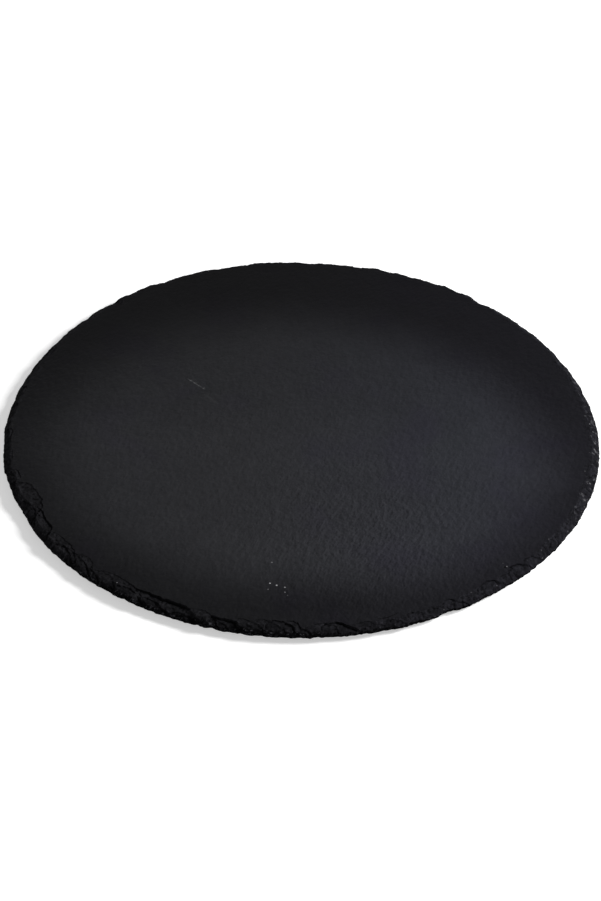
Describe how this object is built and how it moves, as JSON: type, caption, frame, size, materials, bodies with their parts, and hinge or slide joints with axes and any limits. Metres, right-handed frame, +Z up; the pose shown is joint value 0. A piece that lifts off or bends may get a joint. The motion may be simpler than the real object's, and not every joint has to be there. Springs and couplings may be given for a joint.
{
  "type": "round slate serving board",
  "caption": "Round slate serving board: a flat slab with a hand-chipped edge, standing on four small stick-on rubber foot pads.",
  "frame": {"origin": "centre of the outline, on the surface that the foot pads stand on", "axes": "+Z up out of the serving face, -Y the front that faces the camera in the picture, +X to its right"},
  "size_m": [0.3002, 0.3, 0.0072],
  "materials": {
    "slate": "matte",
    "foot": "matte",
    "adhesive": "satin"
  },
  "bodies": {
    "root": {"slate_slab": "slate", "foot_front_left": "foot", "foot_front_right": "foot", "foot_back_left": "foot", "foot_back_right": "foot", "adhesive_front_left": "adhesive", "adhesive_front_right": "adhesive", "adhesive_back_left": "adhesive", "adhesive_back_right": "adhesive"}
  },
  "joints": []
}
